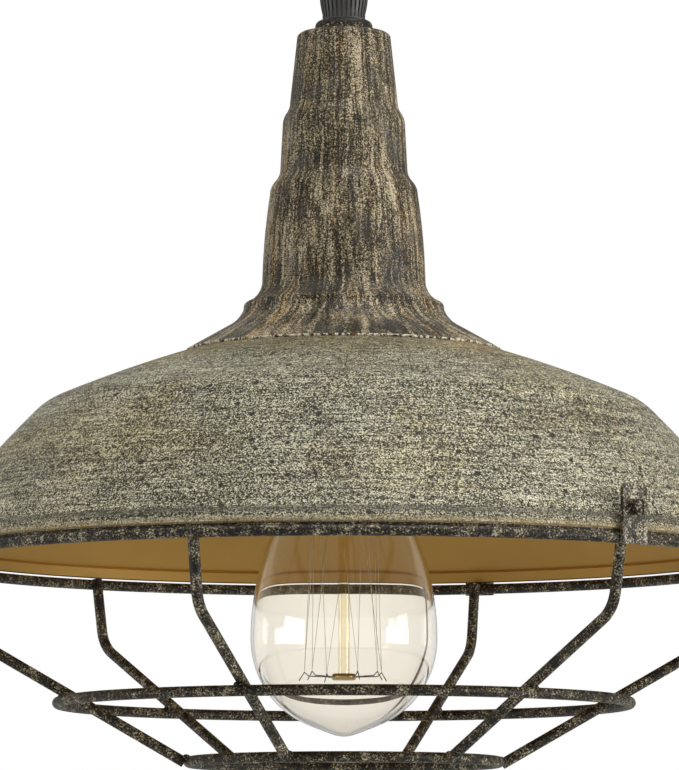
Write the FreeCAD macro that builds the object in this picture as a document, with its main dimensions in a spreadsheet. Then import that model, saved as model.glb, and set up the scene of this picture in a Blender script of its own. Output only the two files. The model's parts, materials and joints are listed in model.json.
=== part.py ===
import FreeCAD, Part
import math
import os

import Sketcher

# A caged pendant light that hangs from its cord. Millimetres, +Z up. The origin is on the lamp's axis,
# in the mouth of the rubber grommet that the cord passes through, so everything hangs below it.
# "Level" is a height along Z and "radius" a distance from the lamp's axis.

SIZES = (
    # cord grip, collar and the threaded tube that they stand on
    ("cord_bore_radius", 3.1),
    ("grommet_radius", 5.4),
    ("grommet_top", 1.0),
    ("grommet_foot", -8.5),
    ("grip_foot", -17.0),
    ("grip_foot_radius", 7.35),
    ("grip_spigot_radius", 6.9),
    ("grip_spigot_foot", -6.5),
    ("grip_spigot_top", -1.6),
    ("grip_flare_radius", 8.35),
    ("nut_top", 3.6),
    ("nut_top_radius", 9.1),
    ("nut_mouth_radius", 3.7),
    ("slip_washer_height", 0.6),
    ("rib_count", 30),
    ("rib_groove_width", 0.75),
    ("rib_groove_depth", 0.45),
    ("nut_rounding", 3.4),
    ("collar_radius", 9.85),
    ("collar_foot", -20.4),
    ("collar_rounding", 2.2),
    ("tube_radius", 5.0),
    ("tube_bore_radius", 3.9),
    ("tube_top", -9.4),
    ("tube_foot", -97.5),
    ("lock_washer_radius", 9.5),
    ("lock_washer_height", 1.15),
    ("lock_nut_radius", 8.1),
    ("lock_nut_height", 3.95),
    ("gap", 0.05),
    # neck casting, from its flat top down to the skirt that sits on the shade
    ("neck_crown_radius", 14.5),
    ("neck_crown_drop", 0.9),
    ("neck_top_radius", 16.0),
    ("neck_top_level", -22.6),
    ("neck_wall", 3.0),
    ("neck_roof", 4.2),
    ("first_step_radius", 18.45),
    ("first_step_level", -45.4),
    ("second_tier_radius", 20.95),
    ("second_tier_level", -53.2),
    ("second_step_radius", 21.75),
    ("second_step_level", -68.5),
    ("third_tier_radius", 25.3),
    ("third_tier_level", -77.3),
    ("third_tier_foot_radius", 27.9),
    ("third_tier_foot_level", -107.2),
    ("bead_radius", 32.7),
    ("bead_level", -114.4),
    ("bead_foot_radius", 34.15),
    ("bead_foot_level", -116.8),
    ("skirt_radius", 39.0),
    ("skirt_level", -122.6),
    ("skirt_edge_radius", 53.8),
    ("skirt_edge_level", -131.0),
    ("skirt_foot_level", -131.85),
    ("skirt_land", 3.2),
    ("skirt_land_rise", 0.75),
    ("boss_radius", 4.2),
    ("boss_length", 20.0),
    ("boss_circle_radius", 32.5),
    ("boss_foot", -130.35),
    ("boss_drill_depth", 9.0),
    ("neck_screw_radius", 2.0),
    ("neck_screw_length", 8.6),
    ("neck_screw_head_radius", 3.8),
    ("neck_screw_head_height", 2.6),
    ("neck_screw_rounding", 1.6),
    ("neck_screw_slot", 1.1),
    ("neck_washer_radius", 4.6),
    ("neck_washer_height", 0.8),
    # shade, spun from sheet: flat top, dome, shoulder, wall and a hemmed lip
    ("sheet", 1.0),
    ("shade_top", -130.4),
    ("shade_hole_radius", 23.5),
    ("shade_screw_hole_radius", 2.2),
    ("shade_flat_radius", 42.0),
    ("crown_bend", 47.3),
    ("dome_bend", 451.4),
    ("shoulder_bend", 22.0),
    ("wall_bend", 322.3),
    ("dome_start_slope", 17.5),
    ("dome_end_slope", 23.2),
    ("wall_start_slope", 45.0),
    ("wall_end_slope", 55.0),
    ("rim_radius", 142.8),
    ("rim_level", -200.4),
    ("hem_level", -201.0),
    ("hem_height", 3.6),
    # lamp holder
    ("holder_radius", 19.0),
    ("holder_mouth_radius", 18.0),
    ("holder_top", -108.0),
    ("holder_mouth", -152.0),
    ("holder_floor", -121.0),
    ("holder_cap_top", -86.0),
    ("holder_cap_wall", 2.5),
    ("holder_cap_boss_radius", 8.0),
    ("holder_cap_roof", -96.2),
    ("set_screw_radius", 1.5),
    ("set_screw_end", 9.0),
    ("holder_recess_radius", 14.0),
    ("holder_recess_depth", 4.2),
    ("rivet_radius", 2.4),
    ("contact_radius", 4.6),
    ("terminal_spacing", 8.0),
    ("terminal_screw_radius", 1.75),
    ("terminal_width", 6.4),
    ("terminal_depth", 8.0),
    ("terminal_sheet", 1.2),
    ("shell_outer_radius", 14.3),
    ("shell_root_radius", 13.55),
    ("shell_crest_radius", 12.6),
    ("shell_foot", -150.5),
    ("shell_flange_radius", 6.5),
    ("shell_thread_start", -146.4),
    # bulb: screw cap, glass and the wires inside it
    ("thread_pitch", 3.629),
    ("ridge_foot_half", 0.85),
    ("ridge_crest_half", 0.35),
    ("shell_turns", 5.5),
    ("cap_turns", 4.0),
    ("cap_root_radius", 12.2),
    ("cap_crest_radius", 13.05),
    ("cap_top", -127.0),
    ("cap_foot", -148.6),
    ("bulb_contact_top", -121.75),
    ("bulb_contact_radius", 4.5),
    ("bulb_contact_height", 1.15),
    ("glass", 0.8),
    ("glass_top", -141.0),
    ("glass_neck_radius", 11.4),
    ("glass_throat_radius", 14.0),
    ("glass_throat_level", -152.4),
    ("throat_slope", 85.0),
    ("flank_slope", 66.6),
    ("flank_bend", 127.4),
    ("body_bend", 94.0),
    ("belly_bend", 31.5),
    ("belly_end_slope", 159.0),
    ("nose_length", 8.1),
    ("stem_radius", 1.9),
    ("stem_foot", -241.0),
    ("stem_flare_level", -167.0),
    ("stem_flare_bend", 34.5),
    ("stem_press_radius", 7.0),
    ("bead_disc_radius", 4.75),
    ("hook_root_radius", 4.3),
    ("bead_disc_height", 2.2),
    ("upper_bead_level", -171.0),
    ("hook_wire_radius", 0.17),
    ("filament_radius", 0.08),
    ("hook_knee_radius", 11.9),
    ("hook_crest_radius", 13.4),
    ("hook_crest_rise", 1.6),
    ("hook_end_radius", 15.2),
    ("hook_end_drop", 1.3),
    ("upper_hook_radius", 10.5),
    ("lead_foot_level", -157.0),
    ("lead_swing", 9.0),
    # cage: three rings, six bars, three clips
    ("wire_radius", 1.83),
    ("top_ring_radius", 141.8),
    ("top_ring_level", -203.3),
    ("middle_ring_radius", 96.85),
    ("middle_ring_level", -251.1),
    ("bottom_ring_radius", 52.43),
    ("bottom_ring_level", -270.9),
    ("bar_turn", -50.16),
    ("bar_lean", 10.0),
    ("bar_fall", 29.7),
    ("weld_bite", 0.12),
    ("bar_knee_radius", 134.27),
    ("bar_knee_level", -225.75),
    ("bar_knee_bend", 12.0),
    ("bar_top_level", -201.6),
    ("bar_end_radius", 54.6),
    ("strap_width", 10.4),
    ("strap_sheet", 1.3),
    ("strap_top", -186.0),
    ("strap_foot", -205.4),
    ("strap_corner", 1.6),
    ("clip_screw_level", -193.8),
    ("clip_screw_radius", 1.5),
    ("clip_screw_tip", 141.05),
    ("clip_screw_length", 4.0),
    ("clip_screw_head_radius", 2.75),
    ("clip_screw_head_height", 2.3),
    ("clip_tip_radius", 1.1),
    ("clip_tip_length", 1.2),
    ("clip_stud_radius", 0.7),
)
BAR_COUNT = 6
CLIP_COUNT = 3
NECK_SCREW_COUNT = 3
# the hooks were bent and set by hand, so their spacing is uneven: degrees from +X
HOOK_TURNS = (17.0, 116.0, 180.0, 217.0, 290.0, 327.0)
FULL_TURN = 360.0

doc = FreeCAD.newDocument("PendantLight")
sheet = doc.addObject("Spreadsheet::Sheet", "Sizes")
for row, (alias, value) in enumerate(SIZES, start=1):
    sheet.set("A%d" % row, alias)
    sheet.set("B%d" % row, str(value))
    sheet.setAlias("B%d" % row, alias)
doc.recompute()

nodes = []


class Dim:
    """A number together with the sheet expression that gives it."""

    def __init__(self, value, text):
        self.value = value
        self.text = text

    def __add__(self, other):
        other = dim(other)
        return Dim(self.value + other.value, "(%s + %s)" % (self.text, other.text))

    def __sub__(self, other):
        other = dim(other)
        return Dim(self.value - other.value, "(%s - %s)" % (self.text, other.text))

    def __mul__(self, other):
        other = dim(other)
        return Dim(self.value * other.value, "(%s * %s)" % (self.text, other.text))

    def __truediv__(self, other):
        other = dim(other)
        return Dim(self.value / other.value, "(%s / %s)" % (self.text, other.text))

    def __neg__(self):
        return Dim(-self.value, "(0 - %s)" % self.text)

    __radd__ = __add__
    __rmul__ = __mul__

    def __rsub__(self, other):
        return dim(other) - self

    def sin(self):
        return Dim(math.sin(math.radians(self.value)), "sin(%s * 1 deg)" % self.text)

    def cos(self):
        return Dim(math.cos(math.radians(self.value)), "cos(%s * 1 deg)" % self.text)

    def tan(self):
        return self.sin() / self.cos()


def dim(number):
    """A plain number as a Dim, and a Dim as it is."""
    if isinstance(number, Dim):
        return number
    return Dim(float(number), repr(float(number)))


def size(alias):
    """One cell of the sheet."""
    return Dim(dict(SIZES)[alias], "Sizes." + alias)


def sizes(*aliases):
    """Several cells of the sheet."""
    return [size(alias) for alias in aliases]


# ---- outlines: lists of (across, up, bend), where bend is the radius of the arc that leaves the point,
# positive where the outline turns clockwise, negative where it turns the other way, 0 for a straight run


def backwards(run):
    """The same run from its end to its start."""
    bends = [-dim(point[2]) for point in run[:-1]]
    return [(point[0], point[1], bend) for point, bend in zip(reversed(run), reversed([dim(0)] + bends))]


def arcs(start, heading, turns):
    """Smoothly joined arcs. Headings are degrees below level; turns holds (signed radius, new heading)."""
    across, up = start
    run = []
    for radius, new_heading in turns:
        run.append((across, up, radius))
        across = across + radius * (new_heading.sin() - heading.sin())
        up = up + radius * (new_heading.cos() - heading.cos())
        heading = new_heading
    run.append((across, up, 0))
    return run


def soft_step(top, foot):
    """An S of two equal arcs between two upright walls, from a narrow top to a wider foot."""
    out = foot[0] - top[0]
    down = top[1] - foot[1]
    radius = (out * out + down * down) / (out * 4)
    middle = ((top[0] + foot[0]) / 2, (top[1] + foot[1]) / 2)
    return [(top[0], top[1], -radius), (middle[0], middle[1], radius)]


def arc_between(start, end, bend):
    """The smaller arc from start to end, and which of its ends each of them is (1 first, 2 last)."""
    run = end - start
    half = run.Length / 2
    rise = math.sqrt(max(bend * bend - half * half, 0.0))
    right = FreeCAD.Vector(run.y, -run.x, 0).normalize()
    centre = start + run * 0.5 + right * math.copysign(rise, bend)
    circle = Part.Circle(centre, FreeCAD.Vector(0, 0, 1), abs(bend))
    first, last = (end, start) if bend > 0 else (start, end)
    angles = [math.atan2(point.y - centre.y, point.x - centre.x) for point in (first, last)]
    ends = (2, 1) if bend > 0 else (1, 2)
    return Part.ArcOfCircle(circle, angles[0], angles[1]), ends


def origin_plane(body, role):
    return [feature for feature in body.Origin.OriginFeatures if feature.Role == role][0]


def draw(body, name, outline, plane="XZ_Plane", offset=None, closed=True):
    """A sketch on one of the body's own planes, every point of which is held by the sheet."""
    sketch = body.newObject("Sketcher::SketchObject", name)
    sketch.AttachmentSupport = [(origin_plane(body, plane), "")]
    sketch.MapMode = "FlatFace"
    if offset is not None:
        sketch.AttachmentOffset = FreeCAD.Placement(FreeCAD.Vector(0, 0, offset.value), FreeCAD.Rotation())
        sketch.setExpression("AttachmentOffset.Base.z", offset.text)
    points = [(dim(across), dim(up), dim(bend)) for across, up, bend in outline]
    count = len(points) if closed else len(points) - 1
    shapes = []
    ends = []
    for index in range(count):
        after = points[(index + 1) % len(points)]
        start = FreeCAD.Vector(points[index][0].value, points[index][1].value, 0)
        end = FreeCAD.Vector(after[0].value, after[1].value, 0)
        bend = points[index][2].value
        if bend:
            shape, pair = arc_between(start, end, bend)
        else:
            shape, pair = Part.LineSegment(start, end), (1, 2)
        shapes.append(shape)
        ends.append(pair)
    sketch.addGeometry(shapes, False)
    rules = []
    texts = []

    def rule(text, *details):
        rules.append(Sketcher.Constraint(*details))
        texts.append(text)

    for index in range(count if closed else count - 1):
        after = (index + 1) % count
        rule(None, "Coincident", index, ends[index][1], after, ends[after][0])
    held = [(index, ends[index][0]) for index in range(count)]
    if not closed:
        held.append((count - 1, ends[-1][1]))
    for (shape, end), (across, up, bend) in zip(held, points):
        if across.value == 0:
            rule(None, "PointOnObject", shape, end, -2)
        else:
            rule(across.text, "DistanceX", shape, end, across.value)
        rule(up.text, "DistanceY", shape, end, up.value)
    for index in range(count):
        bend = points[index][2]
        if bend.value:
            size_of_bend = bend if bend.value > 0 else -bend
            rule(size_of_bend.text, "Radius", index, size_of_bend.value)
    sketch.addConstraint(rules)
    for index, text in enumerate(texts):
        if text is not None:
            sketch.setExpression("Constraints[%d]" % index, text)
    return sketch


def keep(part, name):
    """Names a finished piece and puts it on the list of nodes."""
    part.Label = name
    nodes.append(part)
    return part


def new_body(name):
    return doc.addObject("PartDesign::Body", name + "_body")


def turned(name, outline):
    """A body turned about the Z axis from half of its section."""
    body = new_body(name)
    sketch = draw(body, name + "_section", outline)
    turn = body.newObject("PartDesign::Revolution", name + "_turn")
    turn.Profile = sketch
    turn.ReferenceAxis = (sketch, ["V_Axis"])
    turn.Angle = FULL_TURN
    return body


def pocket_across(body, name, outline, width):
    """Cuts an outline on the XZ plane out of a body, half of the width on each side of the plane."""
    sketch = draw(body, name + "_outline", outline)
    pocket = body.newObject("PartDesign::Pocket", name)
    pocket.Profile = sketch
    pocket.Midplane = True
    pocket.Length = width.value
    pocket.setExpression("Length", width.text)
    return pocket, sketch


def box_outline(low, high):
    """A rectangle between two corners."""
    return [(low[0], low[1], 0), (high[0], low[1], 0), (high[0], high[1], 0), (low[0], high[1], 0)]


def ring_section(inner, outer, low, high):
    """The section of a plain ring or tube."""
    return box_outline((inner, low), (outer, high))


def place(part, across=0, level=0, turn=0, laid=False):
    """Puts a piece at a distance from the lamp's axis, on a level, swung round the axis.
    A laid piece has its own Z axis pointing outwards instead of up."""
    across, level, turn = dim(across), dim(level), dim(turn)
    spot = "vector(%s; %s; %s)" % ((across * turn.cos()).text, (across * turn.sin()).text, level.text)
    swing = "rotation(vector(0; 0; 1); %s)" % turn.text
    if laid:
        swing += " * rotation(vector(0; 1; 0); 90)"
    part.setExpression("Placement", "placement(%s; %s)" % (spot, swing))
    return part


def cylinder(name, radius, length, **where):
    """A Part cylinder that starts from its place."""
    shape = doc.addObject("Part::Cylinder", name)
    shape.setExpression("Radius", dim(radius).text)
    shape.setExpression("Height", dim(length).text)
    return place(shape, **where)


def joined(name, pieces):
    fuse = doc.addObject("Part::MultiFuse", name)
    fuse.Shapes = pieces
    return fuse


def cut(name, base, tool):
    result = doc.addObject("Part::Cut", name)
    result.Base = base
    result.Tool = tool
    return result


def group(name, pieces):
    """Several separate solids that make one node."""
    compound = doc.addObject("Part::Compound", name + "_group")
    compound.Links = pieces
    return keep(compound, name)


def shares(count):
    """The angles that share a full turn out."""
    return [FULL_TURN / count * index for index in range(count)]


# ---- cord grip: a ribbed body on the threaded tube, a rubber grommet, and a nut that squeezes it


def ribbed(body, name, foot, top):
    """Cuts the fine upright grooves of a finger grip, along a flank from foot to top."""
    depth = size("rib_groove_depth")
    outline = [
        (foot[0] - depth, foot[1], 0),
        (foot[0] + 1, foot[1], 0),
        (top[0] + 1, top[1], 0),
        (top[0] - depth, top[1], 0),
    ]
    pocket, sketch = pocket_across(body, name + "_groove", outline, size("rib_groove_width"))
    pattern = body.newObject("PartDesign::PolarPattern", name + "_grooves")
    pattern.Originals = [pocket]
    pattern.Axis = (sketch, ["V_Axis"])
    pattern.Angle = FULL_TURN
    pattern.Occurrences = int(size("rib_count").value)
    pattern.setExpression("Occurrences", size("rib_count").text)
    body.Tip = pattern


def cord_grip():
    foot, spigot_foot, spigot_top = sizes("grip_foot", "grip_spigot_foot", "grip_spigot_top")
    foot_radius, flare, spigot = sizes("grip_foot_radius", "grip_flare_radius", "grip_spigot_radius")
    grommet_radius, grommet_foot, grommet_top = sizes("grommet_radius", "grommet_foot", "grommet_top")
    gap, cord_bore = sizes("gap", "cord_bore_radius")
    tube_hole = size("tube_radius") + gap
    body = turned("grip_turned", [
        (tube_hole, foot, 0),
        (foot_radius, foot, 0),
        (foot_radius, foot + 2.2, -30),
        (flare, spigot_foot, 0),
        (spigot, spigot_foot, 0),
        (spigot, spigot_top, 0),
        (grommet_radius + gap, spigot_top, 0),
        (grommet_radius + gap, grommet_foot, 0),
        (tube_hole, grommet_foot, 0),
    ])
    ribbed(body, "grip_rib", (foot_radius, foot + 0.6), (flare - 0.1, spigot_foot + 1))
    keep(body, "cord_grip_body")

    keep(turned("grommet_turned", [
        (cord_bore, grommet_foot, 0),
        (grommet_radius - 0.6, grommet_foot, 0),
        (grommet_radius, grommet_foot + 0.6, 0),
        (grommet_radius, grommet_top - 1.0, 0),
        (grommet_radius - 0.9, grommet_top, 0),
        (cord_bore, grommet_top, 0),
    ]), "cord_grommet")

    mouth, top, top_radius, rounding = sizes("nut_mouth_radius", "nut_top", "nut_top_radius", "nut_rounding")
    washer_low = grommet_top + gap
    washer_high = washer_low + size("slip_washer_height")
    keep(turned("slip_washer_turned", ring_section(mouth, grommet_radius, washer_low, washer_high)),
         "grip_slip_washer")

    nut_foot = spigot_foot + gap * 3
    ceiling = washer_high + gap
    nut = turned("nut_turned", [
        (spigot + gap, nut_foot, 0),
        (flare + 0.1, nut_foot, 0),
        (top_radius, top - rounding, -rounding),
        (top_radius - rounding, top, 0),
        (mouth, top, 0),
        (mouth, ceiling, 0),
        (spigot - 0.9, ceiling, 0),
        (spigot + gap, ceiling - 1.6, 0),
    ])
    ribbed(nut, "nut_rib", (flare + 0.1, nut_foot + 0.5), (top_radius, top - rounding))
    keep(nut, "cord_grip_nut")


def tube_and_collar():
    foot, top, radius, rounding = sizes("collar_foot", "grip_foot", "collar_radius", "collar_rounding")
    tube_radius, gap = sizes("tube_radius", "gap")
    hole = tube_radius + gap
    keep(turned("collar_turned", [
        (hole, foot, 0),
        (radius, foot, 0),
        (radius, top - rounding, -rounding),
        (radius - rounding, top, 0),
        (hole, top, 0),
    ]), "neck_collar")
    bore, tube_foot, tube_top = sizes("tube_bore_radius", "tube_foot", "tube_top")
    keep(turned("tube_turned", ring_section(bore, tube_radius, tube_foot, tube_top)), "threaded_tube")

    washer_top = foot - size("neck_roof") - gap
    washer_foot = washer_top - size("lock_washer_height")
    washer = ring_section(hole, size("lock_washer_radius"), washer_foot, washer_top)
    keep(turned("lock_washer_turned", washer), "tube_lock_washer")
    nut_height = size("lock_nut_height")
    nut_foot = washer_foot - gap - nut_height
    prism = doc.addObject("Part::Prism", "lock_nut_hexagon")
    prism.Polygon = 6
    prism.setExpression("Circumradius", size("lock_nut_radius").text)
    prism.setExpression("Height", nut_height.text)
    place(prism, level=nut_foot)
    bore = cylinder("lock_nut_bore", hole, nut_height + 2, level=nut_foot - 1)
    keep(cut("lock_nut_bored", prism, bore), "tube_lock_nut")


# ---- neck casting: turned outside, cored inside, with three screw bosses left in the skirt


def neck():
    top, crown, crown_drop = sizes("collar_foot", "neck_crown_radius", "neck_crown_drop")
    wall, gap = sizes("neck_wall", "gap")
    tier_top = sizes("neck_top_radius", "neck_top_level")
    first = sizes("first_step_radius", "first_step_level")
    second = sizes("second_tier_radius", "second_tier_level")
    second_foot = sizes("second_step_radius", "second_step_level")
    third = sizes("third_tier_radius", "third_tier_level")
    third_foot = sizes("third_tier_foot_radius", "third_tier_foot_level")
    bead = sizes("bead_radius", "bead_level")
    bead_foot = sizes("bead_foot_radius", "bead_foot_level")
    skirt = sizes("skirt_radius", "skirt_level")
    edge = sizes("skirt_edge_radius", "skirt_edge_level")
    foot, land, land_rise = sizes("skirt_foot_level", "skirt_land", "skirt_land_rise")
    hole = size("tube_radius") + gap * 2
    land_radius = edge[0] - land

    outside = [(hole, foot + land_rise, 0), (hole, top, 0), (size("collar_radius") + 0.3, top, 0)]
    outside += [(crown, top - crown_drop, 2.9), (tier_top[0], tier_top[1], 0)]
    outside += soft_step(first, second)
    outside += [(second[0], second[1], 0)]
    outside += soft_step(second_foot, third)
    outside += [(third[0], third[1], 240), (third_foot[0], third_foot[1], -8.2)]
    outside += [(bead[0], bead[1], 1.9), (bead_foot[0], bead_foot[1], -11.5)]
    outside += [(skirt[0], skirt[1], 0), (edge[0], edge[1], 0.6), (edge[0], foot, 0)]
    outside += [(land_radius, foot + land_rise, 0)]
    body = turned("neck_outside", outside)

    roof = top - size("neck_roof")
    core = turned("neck_core", [
        (0, foot - 1, 0),
        (land_radius, foot - 1, 0),
        (land_radius, foot + land_rise, 0),
        (skirt[0] + 1.2, skirt[1] - wall, 0),
        (bead_foot[0] - 1.2, bead_foot[1] - wall, 0),
        (third_foot[0] - wall, third_foot[1] - 1.6, 0),
        (third[0] - wall, third[1] - 2.2, 0),
        (second_foot[0] - wall, second_foot[1] - 1.5, 0),
        (second[0] - wall, second[1] - 2.0, 0),
        (first[0] - wall, first[1] - 1.5, 0),
        (tier_top[0] - wall, roof, 0),
        (0, roof, 0),
    ])
    circle, boss_foot, depth = sizes("boss_circle_radius", "boss_foot", "boss_drill_depth")
    bosses = []
    drills = []
    for index, turn in enumerate(shares(NECK_SCREW_COUNT)):
        bosses.append(cylinder("neck_boss_%d" % index, size("boss_radius"), size("boss_length"),
                               across=circle, level=boss_foot, turn=turn))
        drills.append(cylinder("neck_boss_drill_%d" % index, size("neck_screw_radius") + gap, depth + 1,
                               across=circle, level=boss_foot - 1, turn=turn))
    cavity = cut("neck_cavity", core, joined("neck_bosses", bosses))
    hollow = cut("neck_hollow", body, cavity)
    keep(cut("neck_drilled", hollow, joined("neck_drills", drills)), "neck_casting")


def neck_screws():
    """Three pan-head screws with washers, up through the shade's flat top into the neck's bosses."""
    circle, radius, length = sizes("boss_circle_radius", "neck_screw_radius", "neck_screw_length")
    head, head_height = sizes("neck_screw_head_radius", "neck_screw_head_height")
    rounding, slot_width = sizes("neck_screw_rounding", "neck_screw_slot")
    washer_height = size("neck_washer_height")
    seat = size("shade_top") - size("sheet") - size("gap") - washer_height
    screws = []
    washers = []
    for index, turn in enumerate(shares(NECK_SCREW_COUNT)):
        washer = turned("neck_washer_%d" % index, ring_section(
            size("shade_screw_hole_radius"), size("neck_washer_radius"), dim(0), washer_height))
        washers.append(place(washer, across=circle, level=seat, turn=turn))
        screw = turned("neck_screw_%d" % index, [
            (0, -head_height, 0),
            (head - rounding, -head_height, -rounding),
            (head, rounding - head_height, 0),
            (head, 0, 0),
            (radius, 0, 0),
            (radius, length, 0),
            (0, length, 0),
        ])
        slot = box_outline((-head - 1, -head_height - 1), (head + 1, slot_width - head_height))
        pocket_across(screw, "neck_screw_%d_slot" % index, slot, slot_width)
        screws.append(place(screw, across=circle, level=seat, turn=turn))
    group("neck_screws", screws)
    group("neck_screw_washers", washers)


# ---- shade


def shade():
    flat, top, thickness, hole = sizes("shade_flat_radius", "shade_top", "sheet", "shade_hole_radius")
    slopes = sizes("dome_start_slope", "dome_end_slope", "wall_start_slope", "wall_end_slope")
    bends = sizes("crown_bend", "dome_bend", "shoulder_bend", "wall_bend")
    outer = arcs((flat, top), dim(0), list(zip(bends, slopes)))
    inner_bends = [bend - thickness for bend in bends]
    inner = arcs((flat, top - thickness), dim(0), list(zip(inner_bends, slopes)))
    rim_radius, rim, hem, hem_height = sizes("rim_radius", "rim_level", "hem_level", "hem_height")
    folded = rim_radius - thickness
    lip = [
        (rim_radius, rim + 0.3, 0),
        (rim_radius - 0.3, rim, 0),
        (folded, rim, 0),
        (folded - 0.1, rim + 0.5, 0),
        (folded - 0.25, hem + 0.3, 0),
        (folded - 0.5, hem, 0),
        (folded - thickness + 0.1, hem, 0),
        (folded - thickness - 0.15, hem + 0.35, 0),
        (folded - thickness - 1.0, hem + hem_height, 0),
    ]
    outline = [(hole, top, 0)] + outer + lip + backwards(inner) + [(hole, top - thickness, 0)]
    spun = turned("shade_spun", outline)
    holes = []
    for index, turn in enumerate(shares(NECK_SCREW_COUNT)):
        holes.append(cylinder("shade_screw_hole_%d" % index, size("shade_screw_hole_radius"), thickness + 2,
                              across=size("boss_circle_radius"), level=top - thickness - 1, turn=turn))
    keep(cut("shade_drilled", spun, joined("shade_holes", holes)), "shade")


# ---- lamp holder


def thread(body, name, root, crest, low, high):
    """Adds a right-hand helical ridge that rises from a root radius to a crest radius."""
    pitch, foot_half, crest_half = sizes("thread_pitch", "ridge_foot_half", "ridge_crest_half")
    sink = dim(math.copysign(0.15, root.value - crest.value))
    sketch = draw(body, name + "_profile", [
        (root + sink, low - foot_half, 0),
        (root + sink, low + foot_half, 0),
        (crest, low + crest_half, 0),
        (crest, low - crest_half, 0),
    ])
    ridge = body.newObject("PartDesign::AdditiveHelix", name)
    ridge.Profile = sketch
    ridge.ReferenceAxis = (sketch, ["V_Axis"])
    ridge.Mode = 0
    ridge.Pitch = pitch.value
    ridge.setExpression("Pitch", pitch.text)
    ridge.Height = (high - low).value
    ridge.setExpression("Height", (high - low).text)
    ridge.LeftHanded = False
    ridge.Reversed = False
    body.Tip = ridge


def holder_cap():
    """The metal cap that grips the tube, and the grub screw that locks it."""
    radius, top, foot, roof = sizes("holder_radius", "holder_cap_top", "holder_top", "holder_cap_roof")
    wall, boss, gap = sizes("holder_cap_wall", "holder_cap_boss_radius", "gap")
    hole = size("tube_radius") + gap
    cap = turned("holder_cap_turned", [
        (hole, top, 0),
        (boss, top, 0),
        (boss, top - 6.2, 0),
        (boss + 2, top - 7.2, 9.5),
        (radius, top - 15.5, 0),
        (radius, foot, 0),
        (radius - wall, foot, 0),
        (radius - wall, roof - 5.8, -7),
        (boss + 2, roof, 0),
        (hole, roof, 0),
    ])
    screw, screw_end = sizes("set_screw_radius", "set_screw_end")
    level = top - 3.4
    drill = cylinder("set_screw_drill", screw + gap, screw_end + 2, level=level, laid=True)
    keep(cut("holder_cap_drilled", cap, drill), "holder_cap")

    grub = turned("set_screw_turned", [
        (0, hole + gap, 0),
        (screw - 0.6, hole + gap, 0),
        (screw, hole + gap + 0.6, 0),
        (screw, screw_end, 0),
        (0, screw_end, 0),
    ])
    slot = box_outline((-screw - 1, screw_end - 0.8), (screw + 1, screw_end + 1))
    pocket_across(grub, "set_screw_slot", slot, dim(0.6))
    keep(place(grub, level=level, laid=True), "holder_set_screw")


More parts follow.
